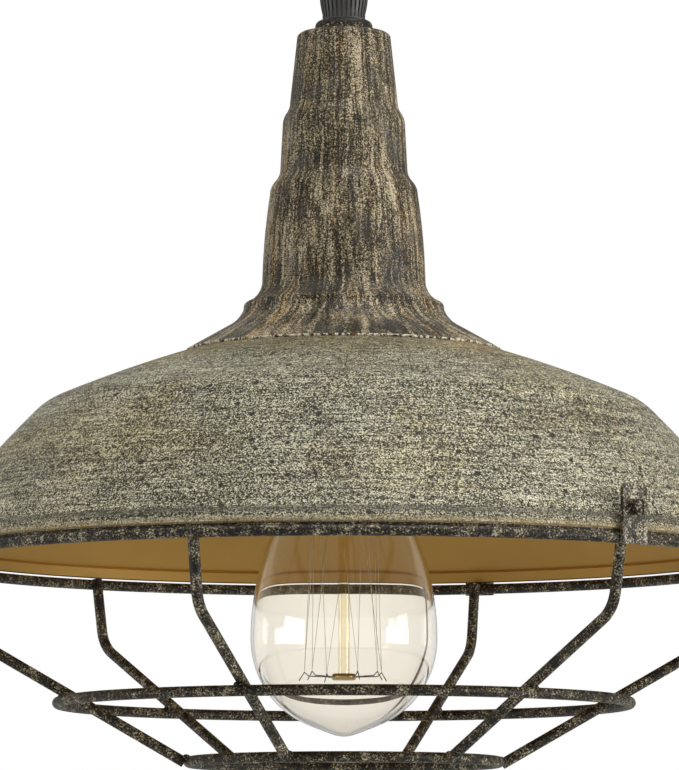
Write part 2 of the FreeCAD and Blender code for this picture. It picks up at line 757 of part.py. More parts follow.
def holder_body():
    """The ceramic body with its two terminals, and the brass shell and contact riveted in it."""
    radius, mouth_radius, mouth = sizes("holder_radius", "holder_mouth_radius", "holder_mouth")
    floor, shell_outer, shell_root = sizes("holder_floor", "shell_outer_radius", "shell_root_radius")
    recess_radius, rivet, gap = sizes("holder_recess_radius", "rivet_radius", "gap")
    top = size("holder_top") - gap
    recess = top - size("holder_recess_depth")
    well_radius = size("terminal_screw_radius") + gap * 2
    ceramic = turned("holder_body_turned", [
        (rivet + gap, floor, 0),
        (shell_outer + gap * 2, floor, 0),
        (shell_outer + gap * 2, mouth, 0),
        (mouth_radius - 0.8, mouth, -0.8),
        (mouth_radius, mouth + 0.8, 0),
        (radius, mouth + 14, 0),
        (radius, top, 0),
        (recess_radius, top, 0),
        (recess_radius, recess, 0),
        (rivet + gap, recess, 0),
    ])
    spacing = size("terminal_spacing")
    wells = []
    for index, turn in enumerate(shares(2)):
        name = "terminal_well_%d" % index
        wells.append(cylinder(name, well_radius, 10, across=spacing, level=recess - 6, turn=turn))
    keep(cut("holder_body_drilled", ceramic, joined("terminal_wells", wells)), "holder_body")

    shell_foot, start, flange = sizes("shell_foot", "shell_thread_start", "shell_flange_radius")
    shell = turned("holder_shell_turned", [
        (flange, floor - 0.65, 0),
        (flange, floor - gap, 0),
        (shell_outer, floor - gap, 0),
        (shell_outer, shell_foot, 0),
        (shell_root, shell_foot, 0),
        (shell_root, floor - 2.65, -2.0),
        (shell_root - 2.0, floor - 0.65, 0),
    ])
    thread(shell, "holder_thread", shell_root, size("shell_crest_radius"), start,
           start + size("thread_pitch") * size("shell_turns"))
    keep(shell, "holder_shell")

    contact = size("contact_radius")
    keep(turned("holder_contact_turned", [
        (0, floor - 0.6, 0),
        (contact, floor - 0.6, 0),
        (contact, floor - gap, 0),
        (rivet, floor - gap, 0),
        (rivet, recess + gap, 0),
        (rivet + 1.5, recess + gap, 0),
        (rivet + 1.5, recess + 1, 0),
        (0, recess + 1, 0),
    ]), "holder_contact")

    width, depth, tag = sizes("terminal_width", "terminal_depth", "terminal_sheet")
    screw_radius = size("terminal_screw_radius")
    tags = []
    screws = []
    for index, turn in enumerate(shares(2)):
        name = "terminal_%d" % index
        plate = new_body(name + "_tag")
        outline = box_outline((spacing - width / 2, -depth / 2), (spacing + width / 2, depth / 2))
        sketch = draw(plate, name + "_outline", outline, plane="XY_Plane")
        pad = plate.newObject("PartDesign::Pad", name + "_pad")
        pad.Profile = sketch
        pad.Length = tag.value
        pad.setExpression("Length", tag.text)
        place(plate, level=recess + gap, turn=turn)
        eye = cylinder(name + "_eye", well_radius, tag + 2, across=spacing, level=recess - 1, turn=turn)
        tags.append(cut(name + "_drilled", plate, eye))
        screw = turned(name + "_screw", [
            (0, -6, 0),
            (screw_radius, -6, 0),
            (screw_radius, 0, 0),
            (3.1, 0, 0),
            (3.1, 1.5, -0.6),
            (2.5, 2.1, 0),
            (0, 2.1, 0),
        ])
        pocket_across(screw, name + "_slot", box_outline((-4, 1.2), (4, 3)), dim(0.8))
        screws.append(place(screw, across=spacing, level=recess + gap * 2 + tag, turn=turn))
    group("holder_terminals", tags)
    group("holder_terminal_screws", screws)


# ---- bulb


def bulb_cap():
    """The bulb's screw cap: the centre contact, the glass insulator and the threaded shell."""
    root, crest, pitch = sizes("cap_root_radius", "cap_crest_radius", "thread_pitch")
    cap_top, cap_foot, gap = sizes("cap_top", "cap_foot", "gap")
    contact, contact_top, contact_height = sizes(
        "bulb_contact_radius", "bulb_contact_top", "bulb_contact_height")
    contact_foot = contact_top - contact_height
    keep(turned("bulb_contact_turned", [
        (0, contact_foot, 0),
        (contact, contact_foot, 0),
        (contact, contact_foot + 0.45, -2.4),
        (contact - 1.9, contact_top, 0),
        (0, contact_top, 0),
    ]), "bulb_contact")
    plug = root - 0.5 - gap
    keep(turned("insulator_turned", [
        (0, cap_top - 2.4, 0),
        (plug, cap_top - 2.4, 0),
        (plug, cap_top - 0.1, 0),
        (plug - 0.45, cap_top + 0.9, 22),
        (contact + 0.4, contact_foot - gap, 0),
        (0, contact_foot - gap, 0),
    ]), "bulb_cap_insulator")
    shell = turned("bulb_cap_turned", [
        (root - 0.5, cap_top, 0),
        (root - 0.2, cap_top, 0),
        (root, cap_top - 0.3, 0),
        (root, cap_foot + 1.6, 0),
        (root + 0.7, cap_foot, 0),
        (root + 0.3, cap_foot, 0),
        (root - 0.5, cap_foot + 1.7, 0),
    ])
    # the bulb's ridge runs midway between two turns of the holder's
    low = size("shell_thread_start") + pitch / 2
    thread(shell, "bulb_thread", root, crest, low, low + pitch * size("cap_turns"))
    keep(shell, "bulb_cap_shell")


def bulb_glass():
    throat = sizes("glass_throat_radius", "glass_throat_level")
    start, wall, nose = sizes("throat_slope", "glass", "nose_length")
    headings = [size("flank_slope"), dim(90), size("belly_end_slope")]

    def run_at(inset):
        """The bulb's outline from throat to tip, moved inwards by inset."""
        first = (throat[0] - start.sin() * inset, throat[1] - start.cos() * inset)
        bends = [-(size("flank_bend") + inset), size("body_bend") - inset, size("belly_bend") - inset]
        run = arcs(first, start, list(zip(bends, headings)))
        last = headings[-1]
        corner = (run[-1][0] + nose * last.cos(), run[-1][1] - nose * last.sin())
        tip_bend = corner[0] / last.sin()
        return run + [(corner[0], corner[1], tip_bend), (0, corner[1] - tip_bend * (1 + last.cos()), 0)]

    neck_radius, top = sizes("glass_neck_radius", "glass_top")
    collar = size("cap_foot") + 1.0
    outline = [(neck_radius, top, 0), (neck_radius, collar, 0)]
    outline += run_at(dim(0)) + backwards(run_at(wall))
    outline += [(neck_radius - wall, collar - 0.2, 0), (neck_radius - wall, top, 0)]
    keep(turned("glass_turned", outline), "bulb_glass")

    stem, stem_foot = sizes("stem_radius", "stem_foot")
    keep(turned("stem_turned", [
        (0, stem_foot, 0),
        (stem, stem_foot, 0),
        (stem, size("stem_flare_level"), size("stem_flare_bend")),
        (size("stem_press_radius"), top - 8, 0),
        (neck_radius - wall - 0.3, top - 1.5, 0),
        (0, top - 1.5, 0),
    ]), "bulb_stem")


def rod(points, radius):
    """A bent wire: a cylinder for each run and a ball at each bend."""
    wire = None
    for start, end in zip(points[:-1], points[1:]):
        run = end - start
        piece = Part.makeCylinder(radius, run.Length, start, run)
        wire = piece if wire is None else wire.fuse(piece)
    for corner in points[1:-1]:
        wire = wire.fuse(Part.makeSphere(radius, corner))
    return wire.removeSplitter()


def polar(across, level, turn):
    angle = math.radians(turn)
    return FreeCAD.Vector(across * math.cos(angle), across * math.sin(angle), level)


def wire_feature(name, shape):
    """A Part::Feature, for wires too fine and too bent for sketches."""
    part = doc.addObject("Part::Feature", name + "_shape")
    part.Shape = shape
    part.Placement = FreeCAD.Placement()
    return keep(part, name)


def bulb_mount():
    """The beads on the stem, the wire hooks in them, the filament strung between, and its two leads."""
    stem, stem_foot, disc, height = sizes("stem_radius", "stem_foot", "bead_disc_radius", "bead_disc_height")
    upper, gap = sizes("upper_bead_level", "gap")
    rounding = height * 0.55
    beads = []
    lower = stem_foot - gap - height / 2
    for name, inner, middle in (("lower", dim(0), lower), ("upper", stem + gap, upper)):
        beads.append(turned(name + "_bead", [
            (inner, middle - height / 2, 0),
            (disc - rounding, middle - height / 2, -rounding),
            (disc - rounding, middle + height / 2, 0),
            (inner, middle + height / 2, 0),
        ]))
    group("stem_beads", beads)

    wire, filament_radius = size("hook_wire_radius").value, size("filament_radius").value
    root = size("hook_root_radius").value
    level = lower.value
    spots = sizes("hook_knee_radius", "hook_crest_radius", "hook_end_radius")
    knee, crest, end = [spot.value for spot in spots]
    rise, drop = size("hook_crest_rise").value, size("hook_end_drop").value
    upper_crest, upper_level = size("upper_hook_radius").value, upper.value
    touch = wire + filament_radius + gap.value
    next_turns = HOOK_TURNS[1:] + (HOOK_TURNS[0] + FULL_TURN,)
    supports = []
    threaded = []
    for turn, next_turn in zip(HOOK_TURNS, next_turns):
        between = (turn + next_turn) / 2
        supports.append(rod([
            polar(root, level, turn),
            polar(knee, level + 0.3, turn),
            polar(crest, level + rise, turn),
            polar(end, level - drop, turn),
        ], wire))
        supports.append(rod([
            polar(root, upper_level, between),
            polar(upper_crest - 1.2, upper_level - 0.3, between),
            polar(upper_crest, upper_level - 1.4, between),
            polar(upper_crest + 1.2, upper_level + 1.0, between),
        ], wire))
        threaded.append(polar(crest, level + rise + touch, turn))
        threaded.append(polar(upper_crest, upper_level - 1.4 - touch, between))
    wire_feature("bulb_support_wires", Part.makeCompound(supports))
    # the filament is strung from hook to hook and leaves the last gap open, where the leads come down
    swing = size("lead_swing").value
    threaded = [polar(upper_crest, upper_level + 2, between + swing)] + threaded
    threaded[-1] = polar(upper_crest, upper_level + 2, between - swing)
    wire_feature("bulb_filament", rod(threaded, filament_radius))
    leads = []
    for turn in (between + swing, between - swing):
        leads.append(rod([
            polar(stem.value + 0.6, size("lead_foot_level").value, turn),
            polar(upper_crest * 0.6, upper_level + 8, turn),
            polar(upper_crest, upper_level + 2 + touch, turn),
        ], wire))
    wire_feature("bulb_lead_wires", Part.makeCompound(leads))


# ---- cage: rings, bars, and the straps whose screws hold it to the shade


def cage_ring(name, radius, level):
    ring = doc.addObject("Part::Torus", name + "_torus")
    ring.setExpression("Radius1", radius.text)
    ring.setExpression("Radius2", size("wire_radius").text)
    keep(place(ring, level=level), name)


def cage_bar(index):
    """A bar from inside the top ring that bends, crosses the middle ring and ends on the bottom one."""
    lean, fall, bend, wire = sizes("bar_lean", "bar_fall", "bar_knee_bend", "wire_radius")
    knee = sizes("bar_knee_radius", "bar_knee_level")
    top, end = sizes("bar_top_level", "bar_end_radius")
    back = bend * ((90 - lean - fall) / 2).tan()
    upper = (top - knee[1]) / lean.cos()
    start = (knee[0] + upper * lean.sin(), top)
    body = new_body("bar_%d" % index)
    path = draw(body, "bar_%d_path" % index, [
        (start[0], start[1], 0),
        (knee[0] + back * lean.sin(), knee[1] + back * lean.cos(), bend),
        (knee[0] - back * fall.cos(), knee[1] - back * fall.sin(), 0),
        (end, knee[1] - (knee[0] - end) * fall.tan(), 0),
    ], closed=False)
    ring = body.newObject("Sketcher::SketchObject", "bar_%d_ring" % index)
    ring.AttachmentSupport = [(origin_plane(body, "XY_Plane"), "")]
    ring.MapMode = "FlatFace"
    ring.setExpression("AttachmentOffset", "placement(vector(%s; 0; %s); rotation(vector(0; 1; 0); %s))" % (
        start[0].text, start[1].text, lean.text))
    circle = Part.Circle(FreeCAD.Vector(0, 0, 0), FreeCAD.Vector(0, 0, 1), wire.value)
    ring.addGeometry(circle, False)
    ring.addConstraint([
        Sketcher.Constraint("Coincident", 0, 3, -1, 1),
        Sketcher.Constraint("Radius", 0, wire.value),
    ])
    ring.setExpression("Constraints[1]", wire.text)
    pipe = body.newObject("PartDesign::AdditivePipe", "bar_%d_pipe" % index)
    pipe.Profile = ring
    pipe.Spine = path
    place(body, turn=size("bar_turn") + index * FULL_TURN / BAR_COUNT)
    keep(body, "cage_bar_%d" % (index + 1))


def clip(index):
    """A strap outside the top ring, with a screw whose soft tip bears on the shade above its lip."""
    turn = size("bar_turn") + index * FULL_TURN / CLIP_COUNT
    name = "clip_%d" % (index + 1)
    half = size("strap_width") / 2
    foot, top, corner, sheet_metal = sizes("strap_foot", "strap_top", "strap_corner", "strap_sheet")
    inner = size("top_ring_radius") + size("wire_radius") - size("weld_bite")
    screw, level, tip, gap = sizes("clip_screw_radius", "clip_screw_level", "clip_screw_tip", "gap")
    strap = new_body(name)
    sketch = draw(strap, name + "_outline", [
        (-half, foot, 0),
        (-half, top - corner, corner),
        (-half + corner, top, 0),
        (half - corner, top, corner),
        (half, top - corner, 0),
        (half, foot, 0),
    ], plane="YZ_Plane", offset=inner)
    pad = strap.newObject("PartDesign::Pad", name + "_pad")
    pad.Profile = sketch
    pad.Length = sheet_metal.value
    pad.setExpression("Length", sheet_metal.text)
    place(strap, turn=turn)
    drill = cylinder(name + "_drill", screw + gap, sheet_metal + 4,
                     across=inner - 2, level=level, turn=turn, laid=True)
    keep(cut(name + "_drilled", strap, drill), "clip_strap_%d" % (index + 1))

    tip_radius, tip_length, stud = sizes("clip_tip_radius", "clip_tip_length", "clip_stud_radius")
    stud_end = tip + tip_length + 1.4
    soft_tip = turned(name + "_tip", [
        (0, tip, 0),
        (tip_radius - 0.2, tip, 0),
        (tip_radius, tip + 0.2, 0),
        (tip_radius, tip + tip_length, 0),
        (stud, tip + tip_length, 0),
        (stud, stud_end, 0),
        (0, stud_end, 0),
    ])
    keep(place(soft_tip, level=level, turn=turn, laid=True), "clip_tip_%d" % (index + 1))

    shoulder = tip + tip_length + gap
    head = shoulder + size("clip_screw_length")
    head_radius, head_height = sizes("clip_screw_head_radius", "clip_screw_head_height")
    bolt = turned(name + "_screw", [
        (stud + gap, shoulder, 0),
        (screw - 0.3, shoulder, 0),
        (screw, shoulder + 0.3, 0),
        (screw, head, 0),
        (head_radius, head, 0),
        (head_radius, head + head_height - 1.3, -1.6),
        (head_radius - 1.35, head + head_height, 0),
        (0, head + head_height, 0),
        (0, stud_end + gap, 0),
        (stud + gap, stud_end + gap, 0),
    ])
    crown = head + head_height
    slot = box_outline((-head_radius - 1, crown - 1.2), (head_radius + 1, crown + 1))
    pocket_across(bolt, name + "_slot", slot, dim(0.8))
    keep(place(bolt, level=level, turn=turn, laid=True), "clip_screw_%d" % (index + 1))


cord_grip()
tube_and_collar()
neck()
neck_screws()
shade()
holder_cap()
holder_body()
bulb_cap()
bulb_glass()
bulb_mount()
cage_ring("cage_top_ring", size("top_ring_radius"), size("top_ring_level"))
cage_ring("cage_middle_ring", size("middle_ring_radius"), size("middle_ring_level"))
cage_ring("cage_bottom_ring", size("bottom_ring_radius"), size("bottom_ring_level"))
for bar_index in range(BAR_COUNT):
    cage_bar(bar_index)
for clip_index in range(CLIP_COUNT):
    clip(clip_index)

doc.recompute()
for item in doc.Objects:
    if "Invalid" in item.State or "Error" in item.State:
        raise RuntimeError("%s failed: %s" % (item.Name, item.State))
for node in nodes:
    if node.Shape.isNull() or not node.Shape.isValid():
        raise RuntimeError("%s has no valid shape" % node.Label)

os.makedirs("parts", exist_ok=True)
for node in nodes:
    node.Shape.exportStep("parts/%s.step" % node.Label)
    box = node.Shape.BoundBox
    print("%-24s %2d solids %10.1f mm3  z %8.2f to %8.2f" % (
        node.Label, len(node.Shape.Solids), node.Shape.Volume, box.ZMin, box.ZMax))
print("%d nodes" % len(nodes))
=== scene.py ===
import bisect
import json
import math
import random

import bmesh
import bpy
from mathutils import Matrix, Vector, noise
from mathutils.bvhtree import BVHTree

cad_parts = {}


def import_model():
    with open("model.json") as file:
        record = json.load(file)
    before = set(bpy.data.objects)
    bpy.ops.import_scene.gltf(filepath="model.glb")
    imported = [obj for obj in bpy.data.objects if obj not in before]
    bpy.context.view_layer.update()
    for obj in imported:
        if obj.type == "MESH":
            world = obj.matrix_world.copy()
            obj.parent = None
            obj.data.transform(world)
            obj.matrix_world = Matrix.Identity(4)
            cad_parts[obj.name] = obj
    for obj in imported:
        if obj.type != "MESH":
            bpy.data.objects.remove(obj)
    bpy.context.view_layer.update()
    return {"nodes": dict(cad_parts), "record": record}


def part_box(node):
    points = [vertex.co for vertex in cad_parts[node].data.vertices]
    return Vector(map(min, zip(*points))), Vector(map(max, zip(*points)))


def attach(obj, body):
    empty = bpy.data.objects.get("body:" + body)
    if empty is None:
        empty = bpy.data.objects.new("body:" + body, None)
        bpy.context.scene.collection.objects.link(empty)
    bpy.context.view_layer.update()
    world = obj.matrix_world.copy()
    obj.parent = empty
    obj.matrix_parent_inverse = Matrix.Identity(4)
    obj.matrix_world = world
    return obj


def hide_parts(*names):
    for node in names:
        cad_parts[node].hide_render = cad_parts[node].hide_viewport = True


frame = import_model()
cad_nodes = frame["nodes"]

MM = 0.001
RINGS = ("cage_top_ring", "cage_middle_ring", "cage_bottom_ring")


# ---- node trees


def opaque(colour):
    """A colour with its alpha. A socket is passed on as it is."""
    return (*colour, 1.0) if isinstance(colour, tuple) else colour


class Nodes:
    """A node tree, built up call by call. Inputs are other nodes' sockets or plain values."""

    def __init__(self, tree):
        self.tree = tree

    def feed(self, node, socket, value):
        if isinstance(value, bpy.types.NodeSocket):
            self.tree.links.new(value, node.inputs[socket])
        elif value is not None:
            node.inputs[socket].default_value = value

    def node(self, kind, inputs=None, **settings):
        made = self.tree.nodes.new("ShaderNode" + kind)
        for key, value in settings.items():
            setattr(made, key, value)
        for socket, value in (inputs or {}).items():
            self.feed(made, socket, value)
        return made

    def math(self, operation, a, b=None, c=None):
        return self.node("Math", {0: a, 1: b, 2: c}, operation=operation).outputs[0]

    def step(self, value, low, high, smooth=True):
        """0 below low, 1 above high; low may be the larger of the two."""
        kind = "SMOOTHSTEP" if smooth else "LINEAR"
        inputs = {"Value": value, "From Min": low, "From Max": high}
        return self.node("MapRange", inputs, interpolation_type=kind).outputs[0]

    def blend(self, share, low, high):
        """A number between low and high."""
        return self.node("Mix", {0: share, 2: low, 3: high}, data_type="FLOAT").outputs[0]

    def mix(self, share, low, high, blend="MIX"):
        """A colour between low and high, or high laid over low."""
        inputs = {0: share, 6: opaque(low), 7: opaque(high)}
        return self.node("Mix", inputs, data_type="RGBA", blend_type=blend).outputs[2]

    def total(self, *shares):
        """The sum of (value, weight) pairs."""
        result = 0.0
        for value, weight in shares:
            result = self.math("MULTIPLY_ADD", value, weight, result)
        return result


class Paint(Nodes):
    """A material with one Principled shader. Patterns lie in the row frame; lengths are millimetres."""

    def __init__(self, name, **surface):
        self.material = bpy.data.materials.new(name)
        self.material.use_nodes = True
        super().__init__(self.material.node_tree)
        self.shader = self.tree.nodes["Principled BSDF"]
        self._place = self._axes = None
        for socket, value in surface.items():
            self.set(socket.replace("_", " "), value)

    def set(self, socket, value):
        self.feed(self.shader, socket, opaque(value))

    def vector(self, operation, a, b=None, scale=None):
        return self.node("VectorMath", {0: a, 1: b, "Scale": scale}, operation=operation).outputs[0]

    def measure(self, operation, a, b=None):
        """A vector operation whose result is a number."""
        return self.node("VectorMath", {0: a, 1: b}, operation=operation).outputs["Value"]

    def combine(self, x, y, z):
        return self.node("CombineXYZ", {0: x, 1: y, 2: z}).outputs[0]

    def place(self):
        """The point on the surface."""
        if self._place is None:
            coordinate = self.node("TexCoord").outputs["Object"]
            self._place = self.vector("SCALE", coordinate, scale=1.0 / MM)
        return self._place

    def axes(self):
        """The same point as x, y and z."""
        if self._axes is None:
            self._axes = tuple(self.node("SeparateXYZ", {0: self.place()}).outputs)
        return self._axes

    def flat(self):
        """The way to the point from the lamp's axis."""
        x, y, _ = self.axes()
        return self.combine(x, y, 0.0)

    def radius(self):
        return self.measure("LENGTH", self.flat())

    def height_over(self, node):
        """How far the point is above the lowest point of a CAD node."""
        return self.math("SUBTRACT", self.axes()[2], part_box(node)[0][2] / MM)

    def round_place(self, reach, along=1.0, slope=0.0):
        """Coordinates that follow a turned surface: a point on a circle of radius reach, and the
        height times along. slope leans the height outwards, for a surface that isn't upright."""
        lean = self.math("MULTIPLY", self.radius(), slope)
        height = self.math("SUBTRACT", self.axes()[2], lean)
        ring = self.vector("SCALE", self.vector("NORMALIZE", self.flat()), scale=reach)
        ring_x, ring_y, _ = self.node("SeparateXYZ", {0: ring}).outputs
        return self.combine(ring_x, ring_y, self.math("MULTIPLY", height, along))

    def noise(self, place, size, detail=2.0, rough=0.5):
        inputs = {"Vector": place, "Scale": 1.0 / size, "Detail": detail, "Roughness": rough}
        return self.node("TexNoise", inputs).outputs[0]

    def cells(self, place, size):
        """Random cells: the distance to the cell's centre, in cells, and two random numbers."""
        made = self.node("TexVoronoi", {"Vector": place, "Scale": 1.0 / size})
        split = self.node("SeparateColor", {0: made.outputs["Color"]})
        return made.outputs["Distance"], split.outputs[0], split.outputs[1]

    def specks(self, place, size, share, low, high):
        """Scattered specks: 1 inside them. share is how many cells hold one; low and high are the
        smallest and largest radius, in cells."""
        distance, chance, girth = self.cells(place, size)
        radius = self.blend(girth, low, high)
        inside = self.step(self.math("SUBTRACT", distance, radius), 0.03, -0.03)
        return self.math("MULTIPLY", inside, self.math("LESS_THAN", chance, share))

    def ramp(self, value, *stops):
        """A colour ramp; stops are (position, colour)."""
        made = self.node("ValToRGB", {0: value})
        elements = made.color_ramp.elements
        while len(elements) < len(stops):
            elements.new(0.5)
        for element, (position, colour) in zip(elements, stops):
            element.position = position
            element.color = opaque(colour)
        return made.outputs[0]

    def over(self, colour, share, top, strength, blend="MIX"):
        """The colour with another on top, where share is 1, at the given strength."""
        return self.mix(self.math("MULTIPLY", share, strength), colour, top, blend)

    def bump(self, height, depth, strength):
        """A bump that is depth millimetres deep."""
        made = self.node("Bump", {"Height": height, "Distance": depth * MM, "Strength": strength})
        self.set("Normal", made.outputs[0])


# ---- materials


def weathered_shade():
    """Grey-green speckled paint outside, worn through in fine turning marks, and gold inside. Painted
    shade darkens the fold above the lip and the lip's lowest edge; the band just above that edge is
    partly wear and partly a painted highlight.
    """
    paint = Paint("weathered_shade", Specular_IOR_Level=0.35)
    whole, radius = paint.place(), paint.radius()
    above_lip = paint.height_over("shade")
    slope = 0.75
    flecks = paint.cells(whole, 0.36)[1]
    grain = paint.noise(whole, 0.40, 1.0, 0.6)
    turned = paint.noise(paint.round_place(4.0, 1.0, slope), 0.38, 2.0, 0.6)
    bands = paint.noise(paint.round_place(5.0, 1.0, slope), 2.4, 3.0, 0.6)
    cloudy = paint.noise(whole, 24.0, 3.0, 0.6)
    speckle = paint.total((flecks, 1.30), (grain, 1.7), (turned, 1.45), (bands, 0.8), (cloudy, 0.5))
    middle_speckle = 2.945
    crown = paint.step(radius, 86.0, 60.0)
    contrast = paint.blend(crown, 1.0, 0.55)
    swing = paint.math("SUBTRACT", speckle, middle_speckle)
    colour = paint.ramp(
        paint.math("MULTIPLY_ADD", swing, contrast, 0.5),
        (0.05, (0.009, 0.008, 0.004)),
        (0.30, (0.061, 0.056, 0.031)),
        (0.52, (0.196, 0.179, 0.106)),
        (0.74, (0.460, 0.425, 0.276)),
        (0.98, (0.880, 0.830, 0.620)),
    )
    colour = paint.over(colour, crown, (0.52, 0.42, 0.31), 0.7, "SOFT_LIGHT")
    rusty = paint.step(paint.noise(paint.round_place(60.0), 26.0, 2.0), 0.48, 0.66)
    colour = paint.over(colour, rusty, (0.56, 0.43, 0.28), 0.6, "SOFT_LIGHT")
    pits = paint.specks(whole, 5.0, 0.6, 0.12, 0.22)
    fine_pits = paint.specks(whole, 2.2, 0.75, 0.10, 0.22)
    marks = paint.math("MAXIMUM", pits, fine_pits)
    colour = paint.over(colour, marks, (0.017, 0.016, 0.011), 0.96)
    # Painted shade: the band in the crease above the lip is darkened where a shadow falls in the fold.
    fold_shadow = paint.math("MULTIPLY", paint.step(above_lip, 6.4, 5.2), paint.step(above_lip, 2.6, 4.6))
    colour = paint.over(colour, fold_shadow, (0.10, 0.092, 0.066), 0.6)
    # The lip's lowest band is lighter tan where the grain is high: partly paint rubbed through, partly
    # a painted highlight where the lip flares out to the light.
    worn_and_lit_lip = paint.math("MULTIPLY", paint.step(above_lip, 3.1, 2.0), paint.step(grain, 0.30, 0.56))
    colour = paint.over(colour, worn_and_lit_lip, (0.46, 0.37, 0.21), 0.6)

    x, y, _ = paint.axes()
    normal = paint.node("NewGeometry").outputs["Normal"]
    facing = paint.measure("DOT_PRODUCT", normal, paint.combine(x, y, radius))
    outside = paint.step(facing, -2.0, 2.0, smooth=False)
    gold = paint.mix(paint.noise(whole, 14.0, 3.0), (0.54, 0.310, 0.068), (0.60, 0.352, 0.082))
    finish = paint.mix(outside, gold, colour)
    # Painted shade: the lip's lowest edge is darkened, inside and out, for the shaded gap between the
    # lip and the cage's top ring.
    lip_edge_shade = paint.step(above_lip, 0.5, 0.1)
    paint.set("Base Color", paint.mix(lip_edge_shade, finish, (0.050, 0.040, 0.022)))
    paint.set("Metallic", paint.blend(outside, 0.35, 0.0))
    paint.set("Roughness", paint.blend(outside, 0.45, paint.blend(grain, 0.42, 0.72)))
    height = paint.total((grain, 0.6), (flecks, 0.3), (marks, -0.8))
    paint.bump(paint.math("MULTIPLY", height, outside), 0.16, 0.6)
    return paint.material


def weathered_neck():
    """Bronze-brown paint, brushed downwards and spattered, with the skirt's edge chipped bright."""
    paint = Paint("weathered_neck", Specular_IOR_Level=0.35)
    whole = paint.place()
    wander = paint.combine(paint.math("MULTIPLY", paint.noise(whole, 16.0, 2.0), 3.0), 0.0, 0.0)
    brushed = paint.vector("ADD", paint.round_place(24.0, 0.07, 0.8), wander)
    flecks = paint.cells(whole, 0.34)[1]
    grain = paint.noise(whole, 0.40, 1.0, 0.6)
    strokes = paint.noise(brushed, 0.9, 2.0, 0.6)
    streaks = paint.noise(brushed, 2.8, 2.0, 0.6)
    cloudy = paint.noise(whole, 18.0, 3.0)
    speckle = paint.total(
        (flecks, 1.0), (grain, 1.4), (strokes, 1.75), (streaks, 1.45), (cloudy, 0.9))
    darkest_speckle = 2.80
    colour = paint.ramp(
        paint.math("SUBTRACT", speckle, darkest_speckle),
        (0.04, (0.009, 0.008, 0.005)),
        (0.30, (0.042, 0.034, 0.020)),
        (0.54, (0.124, 0.094, 0.047)),
        (0.78, (0.335, 0.260, 0.148)),
        (1.00, (0.660, 0.560, 0.380)),
    )
    warm = paint.step(paint.noise(brushed, 4.6, 2.0), 0.52, 0.68)
    colour = paint.over(colour, warm, (0.62, 0.40, 0.15), 0.55, "SOFT_LIGHT")
    cool = paint.step(paint.noise(whole, 13.0, 2.0), 0.50, 0.66)
    colour = paint.over(colour, cool, (0.062, 0.064, 0.060), 0.45)
    pits = paint.specks(whole, 3.4, 0.8, 0.06, 0.17)
    colour = paint.over(colour, pits, (0.018, 0.015, 0.010), 0.85)
    chipped = paint.step(paint.noise(whole, 1.3, 3.0), 0.48, 0.56)
    skirt_edge = paint.step(paint.height_over("neck_casting"), 0.90, 0.80)
    chips = paint.math("MULTIPLY", skirt_edge, chipped)
    paint.set("Base Color", paint.mix(chips, colour, (0.78, 0.71, 0.54)))
    paint.set("Roughness", paint.blend(grain, 0.42, 0.66))
    paint.bump(paint.total((grain, 0.6), (flecks, 0.3), (strokes, 0.4), (pits, -0.8)), 0.2, 0.6)
    return paint.material


def dark_bronze(name="dark_bronze", lift=0.0):
    """Near-black bronze with cream and gold spatter, thicker where lift is more than 0."""
    paint = Paint(name, Specular_IOR_Level=0.35)
    whole = paint.place()
    flecks = paint.cells(whole, 0.42)[1]
    grain = paint.noise(whole, 0.65, 2.0, 0.7)
    blotch = paint.noise(whole, 4.5, 3.0, 0.6)
    speckle = paint.total((flecks, 0.55), (grain, 1.0), (blotch, 1.1))
    darkest_speckle = 0.90
    colour = paint.ramp(
        paint.math("SUBTRACT", speckle, darkest_speckle - lift),
        (0.30, (0.008, 0.007, 0.005)),
        (0.48, (0.032, 0.026, 0.015)),
        (0.62, (0.150, 0.118, 0.062)),
        (0.85, (0.640, 0.570, 0.400)),
    )
    paint.set("Base Color", colour)
    paint.set("Roughness", paint.blend(grain, 0.34, 0.62))
    paint.bump(paint.total((grain, 0.6), (flecks, 0.3), (blotch, 0.8)), 0.3, 0.8)
    return paint.material


def plain_metal(name, colour, roughness, metallic=1.0):
    """Plated or turned metal: fine scratches round the part, and dulling in patches."""
    paint = Paint(name, Metallic=metallic)
    scratch = paint.noise(paint.round_place(6.0, 3.0), 0.6, 3.0, 0.6)
    patch = paint.noise(paint.place(), 4.0, 3.0)
    dull = tuple(0.72 * channel for channel in colour)
    paint.set("Base Color", paint.mix(paint.step(patch, 0.35, 0.7), dull, colour))
    paint.set("Roughness", paint.blend(scratch, roughness - 0.08, roughness + 0.12))
    paint.bump(scratch, 0.03, 0.4)
    return paint.material


def moulded(name, colour, roughness):
    """Moulded plastic or rubber with a fine eroded skin."""
    paint = Paint(name)
    whole = paint.place()
    skin = paint.noise(whole, 0.5, 3.0, 0.6)
    patch = paint.noise(whole, 5.0, 2.0)
    light = tuple(1.5 * channel for channel in colour)
    paint.set("Base Color", paint.mix(patch, colour, light))
    paint.set("Roughness", paint.blend(skin, roughness - 0.1, roughness + 0.1))
    paint.bump(skin, 0.05, 0.5)
    return paint.material


def porcelain():
    """Glazed ceramic, slightly wavy and uneven in tone."""
    paint = Paint("porcelain", Roughness=0.16, Coat_Weight=0.4)
    whole = paint.place()
    glaze = paint.noise(whole, 6.0, 3.0)
    paint.set("Base Color", paint.mix(glaze, (0.74, 0.71, 0.64), (0.86, 0.84, 0.79)))
    paint.bump(paint.noise(whole, 3.0, 2.0), 0.08, 0.4)
    return paint.material


def clear_glass(name, colour):
    """Tinted blown glass, very slightly wavy."""
    paint = Paint(name, Roughness=0.0, IOR=1.5, Transmission_Weight=1.0)
    whole = paint.place()
    tint = tuple(0.985 * channel for channel in colour)
    paint.set("Base Color", paint.mix(paint.noise(whole, 30.0, 1.0), tint, colour))
    paint.bump(paint.noise(whole, 18.0, 1.0), 0.15, 0.25)
    return paint.material


